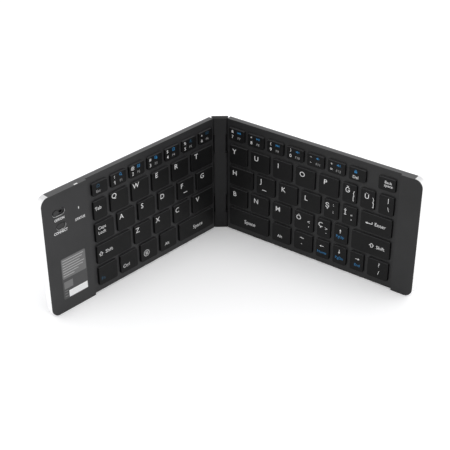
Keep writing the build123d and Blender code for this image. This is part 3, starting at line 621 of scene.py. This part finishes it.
def icon_paste(bm, x, y, z):
    strokes(bm, moved([(-0.95, -1.2), (0.95, -1.2), (0.95, 0.9), (-0.95, 0.9)], x, y), 0.36, z,
            closed=True)
    slab(bm, x - 0.5, x + 0.5, y + 0.7, y + 1.35, z)
    stroke(bm, (x - 0.5, y - 0.1), (x + 0.5, y - 0.1), 0.3, z)


def icon_cut(bm, x, y, z):
    for hand in (-1, 1):
        stroke(bm, (x - hand * 0.7, y + 1.3), (x + hand * 0.5, y - 0.5), 0.3, z)
        band(bm, x + hand * 0.65, y - 0.9, 0.42, 0.26, z, steps=12)


def icon_keyboard(bm, x, y, z):
    strokes(bm, moved([(-1.4, -0.8), (1.4, -0.8), (1.4, 0.8), (-1.4, 0.8)], x, y), 0.3, z,
            closed=True)
    for dx in (-0.7, 0.0, 0.7):
        stroke(bm, (x + dx - 0.15, y + 0.2), (x + dx + 0.15, y + 0.2), 0.3, z)
    stroke(bm, (x - 0.6, y - 0.35), (x + 0.6, y - 0.35), 0.28, z)


def icon_back(bm, x, y, z):
    for dx in (-0.65, 0.75):
        prism(bm, [(x + dx - px, y + py) for px, py in TRIANGLE][::-1], z)
    stroke(bm, (x - 1.6, y - 0.85), (x - 1.6, y + 0.85), 0.3, z)


def icon_play(bm, x, y, z):
    prism(bm, moved(TRIANGLE, x - 0.7, y), z)
    for dx in (0.5, 1.15):
        stroke(bm, (x + dx, y - 0.85), (x + dx, y + 0.85), 0.34, z)


def icon_forward(bm, x, y, z):
    for dx in (-0.75, 0.65):
        prism(bm, moved(TRIANGLE, x + dx, y), z)
    stroke(bm, (x + 1.6, y - 0.85), (x + 1.6, y + 0.85), 0.3, z)


def icon_quiet(bm, x, y, z):
    prism(bm, moved(SPEAKER, x, y), z)
    stroke(bm, (x + 0.5, y - 0.5), (x + 1.4, y + 0.5), 0.3, z)
    stroke(bm, (x + 0.5, y + 0.5), (x + 1.4, y - 0.5), 0.3, z)


def icon_softer(bm, x, y, z):
    prism(bm, moved(SPEAKER, x, y), z)
    band(bm, x - 0.1, y, 0.85, 0.28, z, -40, 40, 6)


def icon_louder(bm, x, y, z):
    icon_softer(bm, x, y, z)
    band(bm, x - 0.1, y, 1.45, 0.28, z, -40, 40, 8)


def icon_lock(bm, x, y, z):
    slab(bm, x - 1.1, x + 1.1, y - 1.2, y + 0.3, z)
    band(bm, x, y + 0.4, 0.7, 0.36, z, 0, 180, 12)


def icon_shift(bm, x, y, z):
    strokes(bm, moved([(-0.75, -1.5), (0.75, -1.5), (0.75, 0.0), (1.7, 0.0), (0, 1.8),
                       (-1.7, 0.0), (-0.75, 0.0)], x, y), 0.42, z, closed=True)


def icon_enter(bm, x, y, z):
    strokes(bm, moved([(2.5, 1.3), (2.5, -0.2), (-1.4, -0.2)], x, y), 0.5, z)
    prism(bm, moved([(-3.1, -0.2), (-1.2, -1.1), (-1.2, 0.7)], x, y), z)


def icon_system(bm, x, y, z):
    band(bm, x, y, 2.55, 0.42, z)
    for dy in (-0.95, 0.0, 0.95):
        stroke(bm, (x - 1.15, y + dy), (x + 1.15, y + dy), 0.5, z)


def arrow(turn):
    """A printed arrow pointing up, turned by that many degrees counter-clockwise."""
    def draw(bm, x, y, z):
        c, s = cos(radians(turn)), sin(radians(turn))

        def at(points):
            return [(x + px * c - py * s, y + px * s + py * c) for px, py in points]

        prism(bm, at([(-0.21, -1.7), (0.21, -1.7), (0.21, 0.6), (-0.21, 0.6)]), z)
        prism(bm, at([(-0.85, 0.5), (0.85, 0.5), (0.0, 1.9)]), z)
    return draw


def home_bar(bm, x, y, z):
    """The raised bar that fingers find on two keys."""
    slab(bm, x - 1.9, x + 1.9, y - 0.2, y + 0.2, z, high=0.2)


def digit_one(bm, x, y, z):
    """The digit with a clear flag, which the built-in font's plain bar lacks."""
    stroke(bm, (x + 0.2, y - DIGIT_CAP / 2), (x + 0.2, y + DIGIT_CAP / 2), 0.46, z)
    stroke(bm, (x - 0.65, y + DIGIT_CAP * 0.2), (x + 0.1, y + DIGIT_CAP * 0.42), 0.36, z)


def number_legends(tops, digits, places):
    """White legends of the number row: a sign above its digit."""
    rows = []
    for top, digit, out in zip(tops, digits, places):
        rows.append((top, out, SIGN_UP, SIGN_CAP))
        rows.append((digit_one if digit == "1" else digit, out, DIGIT_UP, DIGIT_CAP))
    return rows


def across(marks, places, up, cap=0):
    """One mark per number key, all at one height up the board."""
    return [(mark, out, up, cap) for mark, out in zip(marks, places)]


# The second column of each number key: icons, with function names under them.
SECOND_COLUMN = {
    LEFT: (94.6, 77.6, 60.6, 43.0, 25.4, 8.0),
    RIGHT: (11.8, 29.0, 46.3, 64.0, 81.5, 98.7),
}


# Node -> [(words or icon, distance out from the inner end, height up the board, capital
# height of words)].
WHITE = {
    LEFT: {
        "keys_1_to_6": number_legends("!@#$%^", "123456", (100.4, 83.2, 66.2, 49.0, 31.1, 13.6)),
        "key_tab": [("Tab", 117.0, 71.0, WORD_CAP)],
        "keys_q_to_t": [("Q", 101.9, 74.3, LETTER_CAP), ("W", 81.1, 74.3, LETTER_CAP),
                        ("E", 60.6, 74.3, LETTER_CAP), ("R", 40.8, 73.7, LETTER_CAP),
                        ("T", 19.9, 73.7, LETTER_CAP)],
        "key_caps_lock": [("Caps", 114.8, 53.9, LOCK_CAP), ("Lock", 114.8, 50.3, LOCK_CAP)],
        "keys_a_to_g": [("A", 96.4, 54.9, LETTER_CAP), ("S", 76.2, 54.9, LETTER_CAP),
                        ("D", 56.0, 54.3, LETTER_CAP), ("G", 14.1, 54.5, LETTER_CAP)],
        "key_f": [("F", 35.5, 54.3, LETTER_CAP), (home_bar, 32.3, 47.8, 0)],
        "key_left_shift": [(icon_shift, 117.5, 32.3, 0), ("Shift", 109.8, 32.4, WORD_CAP)],
        "keys_z_to_v": [("Z", 81.9, 36.0, LETTER_CAP), ("X", 61.5, 36.0, LETTER_CAP),
                        ("C", 41.2, 35.4, LETTER_CAP), ("V", 19.5, 35.5, LETTER_CAP)],
        "key_ctrl": [("Ctrl", 94.6, 11.0, WORD_CAP)],
        "key_system": [(icon_system, 74.2, 12.0, 0)],
        "key_left_alt": [("Alt", 53.0, 10.8, ALT_CAP)],
        "key_left_space": [("Space", 19.8, 11.9, SPACE_CAP)],
    },
    RIGHT: {
        "keys_7_to_equals": number_legends("&*()_+", "7890-=",
                                           (5.8, 23.1, 40.5, 57.9, 75.4, 92.8)),
        "key_delete": [("Del", 112.8, 84.4, DELETE_CAP)],
        "key_backspace": [("Back", 138.9, 88.3, BACKSPACE_CAP),
                          ("space", 139.0, 85.1, BACKSPACE_CAP)],
        "keys_y_to_bracket": [("Y", 7.4, 72.3, LETTER_CAP), ("U", 27.7, 72.3, LETTER_CAP),
                              ("I", 47.4, 72.6, LETTER_CAP), ("O", 68.6, 72.3, LETTER_CAP),
                              ("P", 88.6, 72.4, LETTER_CAP), ("Ğ", 107.2, 72.7, 3.8),
                              ("{", 112.3, 70.4, 3.0), ("[", 112.3, 66.2, 3.0),
                              ("Ü", 122.9, 72.4, 3.8), ("}", 128.2, 70.2, 3.0),
                              ("]", 128.2, 66.0, 3.0)],
        "key_backslash": [("|", 140.0, 73.6, 3.2), ("\\", 140.4, 66.8, 3.2)],
        "keys_h_to_quote": [("H", 7.8, 53.6, LETTER_CAP), ("K", 52.8, 53.6, LETTER_CAP),
                            ("L", 72.8, 53.2, LETTER_CAP), ("Ş", 91.1, 53.1, 3.9),
                            (":", 96.2, 55.0, 2.8), (";", 96.2, 49.0, 2.8),
                            ("İ", 106.3, 53.5, 3.9), ('"', 111.6, 51.6, 3.2),
                            ("'", 111.6, 47.8, 3.2)],
        "key_j": [("J", 32.0, 53.6, LETTER_CAP), (home_bar, 35.4, 47.0, 0)],
        "key_enter": [(icon_enter, 126.3, 50.4, 0), ("Enter", 135.4, 51.0, 2.8)],
        "keys_b_to_period": [("B", 8.0, 34.7, LETTER_CAP), ("N", 28.0, 34.8, LETTER_CAP),
                             ("M", 48.1, 34.9, LETTER_CAP), ("Ö", 66.9, 34.8, 3.8),
                             ("<", 75.8, 33.0, 2.8), (",", 75.8, 28.6, 3.4),
                             ("Ç", 86.2, 34.4, 3.9), (">", 91.2, 32.5, 2.8),
                             (".", 91.2, 28.5, 3.4)],
        "key_arrow_up": [(arrow(0), 103.3, 34.6, 0)],
        "key_right_shift": [(icon_shift, 129.7, 32.3, 0), ("Shift", 136.9, 32.2, WORD_CAP)],
        "key_right_space": [("Space", 22.3, 11.8, SPACE_CAP)],
        "key_right_alt": [("Alt", 50.4, 10.9, ALT_CAP)],
        "key_grave": [("~", 70.5, 16.8, 4.2), ("`", 70.3, 11.4, 4.2)],
        "key_arrow_left": [(arrow(90), 88.2, 15.9, 0)],
        "key_arrow_down": [(arrow(180), 103.4, 16.6, 0)],
        "key_arrow_right": [(arrow(-90), 119.0, 15.9, 0)],
        "key_slash": [("?", 137.0, 17.4, 3.3), ("/", 137.0, 10.6, 3.3)],
    },
}
GREY = {
    LEFT: {
        "key_esc": [("Esc", 115.5, 84.6, ESC_CAP)],
        "keys_1_to_6": across([f"F{i}" for i in range(1, 7)], SECOND_COLUMN[LEFT],
                              FUNCTION_UP[LEFT], SMALL_CAP),
    },
    RIGHT: {
        "keys_7_to_equals": across([f"F{i}" for i in range(7, 13)], SECOND_COLUMN[RIGHT],
                                   FUNCTION_UP[RIGHT], SMALL_CAP),
    },
}
BLUE = {
    LEFT: {
        "keys_1_to_6": across((icon_search, icon_select, icon_copy, icon_paste),
                              SECOND_COLUMN[LEFT][:4], ICON_UP[LEFT]),
    },
    RIGHT: {
        "keys_7_to_equals": across((icon_back, icon_play, icon_forward, icon_quiet,
                                    icon_softer, icon_louder),
                                   SECOND_COLUMN[RIGHT], ICON_UP[RIGHT]),
        "key_delete": [(icon_lock, 112.7, 88.9, 0)],
        "key_arrow_up": [("PgUp", 103.3, 29.6, PAGE_CAP)],
        "key_arrow_left": [("Home", 88.4, 10.6, PAGE_CAP)],
        "key_arrow_down": [("PgDn", 103.6, 10.6, PAGE_CAP)],
        "key_arrow_right": [("End", 119.0, 10.6, PAGE_CAP)],
    },
}
DIM = {
    LEFT: {
        "key_fn": [("Fn", 117.0, 10.9, WORD_CAP)],
        "key_esc": [(icon_home, 115.5, 89.0, 0)],
        "keys_1_to_6": across((icon_cut, icon_keyboard), SECOND_COLUMN[LEFT][4:],
                              ICON_UP[LEFT]),
    },
}


def put_marks(bm, side, marks, z):
    """Draws one node's legends on its keys."""
    for mark, out, y, cap in marks:
        if callable(mark):
            mark(bm, side * out, y, z)
        else:
            put_words(bm, mark, side * out, y, z, cap)


for layer, paint, table in (("white", WHITE_INK, WHITE), ("grey", GREY_INK, GREY),
                            ("blue", BLUE_INK, BLUE), ("dim", DIM_INK, DIM)):
    for side, marked in table.items():
        for name, marks in marked.items():
            bm = bmesh.new()
            put_marks(bm, side, marks, KEY_RISE)
            finish_mesh(f"print_{layer}_{name}", bm, side, name + "_body", paint,
                        smooth=False)


# ---- left raised end: words, sticker, switch and button ---------------------
CONTROL_WEIGHT = 0.035
LABEL_BOX = (-154.1, -131.9, 10.35, 45.05)
LABEL_CORNER = 1.5
LABEL_SPLIT = 27.6          # height up the board where the paler upper pane ends
LABEL_THICKNESS = 0.1
LABEL_TOP = RAISED_STEP + LABEL_THICKNESS
LABEL_DRAFT = 0.04
PANE_INSET = 0.5
PANE_RISE = 0.01
FIELD_RISE = 0.012
LABEL_SINK = 0.02
RULE_SHARES = (0.96, 0.9, 0.78, 0.98, 0.92, 0.70, 0.50)
RULE_INSET = 1.4
RULE_START = 2.3
RULE_STEP = 2.15
RULE_HALF = 0.3
RULE_RISE = 0.006
SHORT_RULES = (2.2, 4.6, 6.8)
SHORT_RULE_HALF = 0.35
SWITCH = (-151.4, 83.1, 11.0, 5.8)      # middle, length and width of the slot's mouth
CONNECT = (-150.2, 71.6, 8.6, 5.7)      # the same for the button's hole
LIP_HIGHLIGHT_WIDTH = 0.65


def piece_on_left(name, draw, paint, nodes=()):
    """A small piece drawn on the left panel."""
    bm = bmesh.new()
    draw(bm)
    return finish_mesh(name, bm, LEFT, "left_panel", paint, nodes, smooth=False)


def draw_control_words(bm):
    """The words beside the switch, the button and the light."""
    for words, out, y, cap, width in (("OFF/ON", 151.2, 77.6, 2.0, 8.5),
                                      ("CONNECT", 151.0, 67.3, 2.0, 11.7),
                                      ("STATUS", 133.6, 70.8, 1.9, 8.6)):
        put_words(bm, words, LEFT * out, y, RAISED_STEP, cap, CONTROL_WEIGHT, width)


def draw_label(bm):
    """The sticker's film, its upper edge drawn in a little."""
    rings = [lift(loop_points(*LABEL_BOX, LABEL_CORNER, 0), RAISED_STEP),
             lift(loop_points(*LABEL_BOX, LABEL_CORNER, 0), RAISED_STEP + LABEL_THICKNESS * 0.7),
             lift(loop_points(*LABEL_BOX, LABEL_CORNER, -LABEL_DRAFT), LABEL_TOP)]
    stack(bm, rings)


def draw_label_pane(bm):
    """The paler pane over the sticker's upper part."""
    x0, x1, y0, y1 = LABEL_BOX
    points = loop_points(x0 + PANE_INSET, x1 - PANE_INSET, LABEL_SPLIT, y1 - PANE_INSET,
                         LABEL_CORNER - PANE_INSET, 0)
    prism(bm, points, LABEL_TOP, LABEL_SINK, PANE_RISE)


def draw_label_rules(bm):
    """Plain ruled lines of uneven length, with no lettering."""
    x0, x1, y0, y1 = LABEL_BOX
    start = x0 + RULE_INSET
    for i, share in enumerate(RULE_SHARES):
        y = y1 - RULE_START - RULE_STEP * i
        end = start + (x1 - x0 - 2 * RULE_INSET) * share
        slab(bm, start, end, y - RULE_HALF, y + RULE_HALF, LABEL_TOP + PANE_RISE, PANE_RISE,
             RULE_RISE)


def draw_label_field(bm):
    """The bare white field in the sticker's lower corner."""
    x0, x1, y0, y1 = LABEL_BOX
    slab(bm, x0 + 5.0, x1 - 0.4, y0 + 0.5, y0 + 6.2, LABEL_TOP, LABEL_SINK, FIELD_RISE)


def draw_label_patch(bm):
    """A plain grey patch and short rules beside the white field."""
    x0, x1, y0, y1 = LABEL_BOX
    slab(bm, x0 + 1.2, x0 + 9.0, y0 + 8.6, y0 + 14.6, LABEL_TOP, LABEL_SINK, FIELD_RISE)
    for up in SHORT_RULES:
        slab(bm, x0 + 1.2, x0 + 4.2, y0 + up - SHORT_RULE_HALF, y0 + up + SHORT_RULE_HALF,
             LABEL_TOP, LABEL_SINK, FIELD_RISE)


def draw_lip_highlights(bm):
    """Painted highlights: bright strips along the lower lips of the switch slot and of the
    button's hole.
    """
    for x, y, length, width in (SWITCH, CONNECT):
        radius = width / 2 - LIP_HIGHLIGHT_WIDTH / 2
        reach = length / 2 - width / 2
        path = arc(x - reach, y, radius, 215, 270, 5) + arc(x + reach, y, radius, 270, 385, 9)
        for i, (start, end) in enumerate(zip(path, path[1:])):
            share = min(1.0, 0.35 + 0.25 * min(i, len(path) - 2 - i))
            strokes(bm, [start, end], LIP_HIGHLIGHT_WIDTH * share, RAISED_STEP)


piece_on_left("print_controls", draw_control_words, WHITE_INK)
piece_on_left("label_film", draw_label, LABEL, nodes=("blank_label",))
piece_on_left("label_pane", draw_label_pane, LABEL_PANE)
piece_on_left("label_rules", draw_label_rules, LABEL_RULE)
piece_on_left("label_field", draw_label_field, FIELD_INK)
piece_on_left("label_patch", draw_label_patch, PATCH_INK)
piece_on_left("control_lip_highlights", draw_lip_highlights, MOUTH_PAINTED_HIGHLIGHT)

# ---- carried-over solids with rounded edges ---------------------------------
def half_parts(side, shell):
    """(node, edge rounding, material, slot) of the parts that both halves have."""
    parts = [("front_frame", 0.18, shell, "dark_shell"), ("back_cover", 0.15, COVER, "cover"),
             ("key_plate", 0.05, STEEL, "steel"), ("membrane", 0.03, FLEX, "flex"),
             ("dome_sheet", 0.04, DOME, "rubber_sheet"), ("rubber_feet", 0.15, FOOT, "foot"),
             ("cover_screws", 0.08, STEEL, "steel")]
    return [(f"{SIDE_NAME[side]}_{part}", width, paint, slot)
            for part, width, paint, slot in parts]


SOFTENED = {
    "left_panel": half_parts(LEFT, SHELL) + [
        ("main_circuit_board", 0.05, BOARD, "board"),
        ("controller_chip", 0.1, CONTROL, "chip"),
        ("power_switch_body", 0.1, STEEL, "steel"),
        ("connect_switch", 0.1, STEEL, "steel"),
        ("status_light_guide", 0.1, GUIDE, "light_guide"),
        ("charging_port", 0.08, STEEL, "steel"),
        ("battery", 0.5, CELL, "cell")],
    "right_panel": half_parts(RIGHT, SHELL_RIGHT_PAINTED_SHADE),
    "spine": [("spine_front_cover", 0.15, SPINE_SKIN, "dark_shell"),
              ("spine_back_cover", 0.15, SPINE_SKIN, "dark_shell"),
              ("hinge_pins", 0.08, STEEL, "steel"),
              ("spine_flex", 0.03, FLEX, "flex")],
    "power_knob": [("power_switch_knob", 0.12, CONTROL, "control")],
    "connect_key": [("connect_button", 0.15, CONTROL, "control")],
}
# Painted light and shade by place: a painted highlight on the frame's long walls and on the
# mouths' lower lips, a painted shade on the cover's rims and a painted reflection on its outer
# ends.
FRAME_RULES = ((SHELL_EDGE_PAINTED_HIGHLIGHT, on_long_edge), (MOUTH_PAINTED_HIGHLIGHT, on_lower_mouth))
COVER_RULES = ((RIM_PAINTED_SHADE, on_long_edge), (COVER_END_PAINTED_REFLECTION, on_outer_end))
REPAINTED = {"front_frame": FRAME_RULES, "back_cover": COVER_RULES}
for body, rows in SOFTENED.items():
    side = RIGHT if body == PANEL_BODY[RIGHT] else LEFT
    for name, width, paint, slot in rows:
        kind = name.removeprefix(SIDE_NAME[side] + "_")
        softened(name, width, side, body, paint, REPAINTED.get(kind, ()))

# ---- camera -----------------------------------------------------------------
FOCAL_PIXELS = 1082.4
IMAGE_SIZE = 450.0
SENSOR = 36.0
CAMERA_PLACE = Vector((-4.07, -737.37, 472.54))
PITCH = radians(32.615)
YAW = radians(0.589)
ROLL = radians(-0.319)


def make_camera():
    """The photo's camera, placed from the spine's middle."""
    data = bpy.data.cameras.new("camera")
    data.sensor_width = SENSOR
    data.lens = FOCAL_PIXELS / IMAGE_SIZE * SENSOR
    data.clip_start = 0.01
    data.clip_end = 50
    camera = bpy.data.objects.new("camera", data)
    forward = Vector((sin(YAW) * cos(PITCH), cos(YAW) * cos(PITCH), -sin(PITCH)))
    right = Vector((cos(YAW), -sin(YAW), 0))
    up = right.cross(forward)
    turned_right = cos(ROLL) * right + sin(ROLL) * up
    turned_up = -sin(ROLL) * right + cos(ROLL) * up
    matrix = Matrix((turned_right, turned_up, -forward)).transposed().to_4x4()
    matrix.translation = (CAMERA_PLACE + SHIFT) * MM
    camera.matrix_world = matrix
    bpy.context.scene.collection.objects.link(camera)
    bpy.context.scene.camera = camera


make_camera()


# ---- floor, world and lamps -------------------------------------------------
FLOOR_SIZE = 4.0
FLOOR_DROP = 0.0001
FLOOR_TONE = 0.85           # as the object's light finds the floor
FLOOR_TONE_SEEN = 1.17      # as the camera sees it
FLOOR_GLOSS_GAIN = 0.25     # what reflections see on top
ROOM_LOW = (0.84, 0.84, 0.84)
ROOM_HIGH = (0.70, 0.70, 0.71)
ROOM_HEIGHTS = (0.10, 0.75)
SIDE_GAIN = 1.45
SIDE_REACH = (0.6, 0.95)
LAMP_PLACE = (0.1, -0.2, 1.4)
LAMP_SIZE = (1.6, 1.2)
LAMP_POWER = 7.0


def make_floor():
    """A pale paper floor that keeps the object's shadow."""
    bm = bmesh.new()
    bmesh.ops.create_grid(bm, x_segments=8, y_segments=8, size=FLOOR_SIZE)
    mesh = bpy.data.meshes.new("floor")
    bm.to_mesh(mesh)
    bm.free()
    floor = bpy.data.objects.new("floor", mesh)
    floor.location = (0, 0, -FLOOR_DROP)
    paint, tree, shader, place = material("floor_paper")
    path = node(tree, "ShaderNodeLightPath")
    glossy = ramp(tree, path.outputs["Is Glossy Ray"], 0.0, FLOOR_GLOSS_GAIN, 0.0, 1.0)
    seen = ramp(tree, path.outputs["Is Camera Ray"], FLOOR_TONE, FLOOR_TONE_SEEN, 0.0, 1.0)
    paper = node(tree, "ShaderNodeMath", operation="ADD")
    tree.links.new(seen, paper.inputs[0])
    tree.links.new(glossy, paper.inputs[1])
    tree.links.new(paper.outputs["Value"], shader.inputs["Base Color"])
    shader.inputs["Roughness"].default_value = 0.9
    shader.inputs["Specular IOR Level"].default_value = 0.1
    bump(tree, shader, noise(tree, place, 60.0), 0.00005)
    mesh.materials.append(paint)
    bpy.context.scene.collection.objects.link(floor)


def make_world():
    """A pale room, brighter at both sides, that the camera sees as plain white."""
    world = bpy.data.worlds.new("studio")
    world.use_nodes = True
    bpy.context.scene.world = world
    tree = world.node_tree
    tree.nodes.clear()
    output = node(tree, "ShaderNodeOutputWorld")
    place = node(tree, "ShaderNodeTexCoord")
    split = node(tree, "ShaderNodeSeparateXYZ")
    tree.links.new(place.outputs["Generated"], split.inputs["Vector"])
    height = ramp(tree, split.outputs["Z"], ROOM_LOW, ROOM_HIGH, *ROOM_HEIGHTS)
    sideways = node(tree, "ShaderNodeMath", operation="ABSOLUTE")
    tree.links.new(split.outputs["X"], sideways.inputs[0])
    sides = ramp(tree, sideways.outputs["Value"], 1.0, SIDE_GAIN, *SIDE_REACH)
    room = node(tree, "ShaderNodeBackground")
    tree.links.new(height, room.inputs["Color"])
    tree.links.new(sides, room.inputs["Strength"])
    white = node(tree, "ShaderNodeBackground", Strength=1.0)
    white.inputs["Color"].default_value = (1, 1, 1, 1)
    path = node(tree, "ShaderNodeLightPath")
    mix = node(tree, "ShaderNodeMixShader")
    tree.links.new(path.outputs["Is Camera Ray"], mix.inputs["Fac"])
    tree.links.new(room.outputs["Background"], mix.inputs[1])
    tree.links.new(white.outputs["Background"], mix.inputs[2])
    tree.links.new(mix.outputs["Shader"], output.inputs["Surface"])


def make_lamp(name, place, target, size, power):
    """A soft rectangular lamp turned to a target."""
    data = bpy.data.lights.new(name, "AREA")
    data.energy = power
    data.shape = "RECTANGLE"
    data.size, data.size_y = size
    lamp = bpy.data.objects.new(name, data)
    lamp.location = place
    lamp.rotation_euler = (Vector(target) - Vector(place)).to_track_quat("-Z", "Y").to_euler()
    bpy.context.scene.collection.objects.link(lamp)


make_floor()
make_world()
make_lamp("overhead", LAMP_PLACE, (0, 0, 0), LAMP_SIZE, LAMP_POWER)

bpy.context.scene.view_settings.view_transform = "Standard"
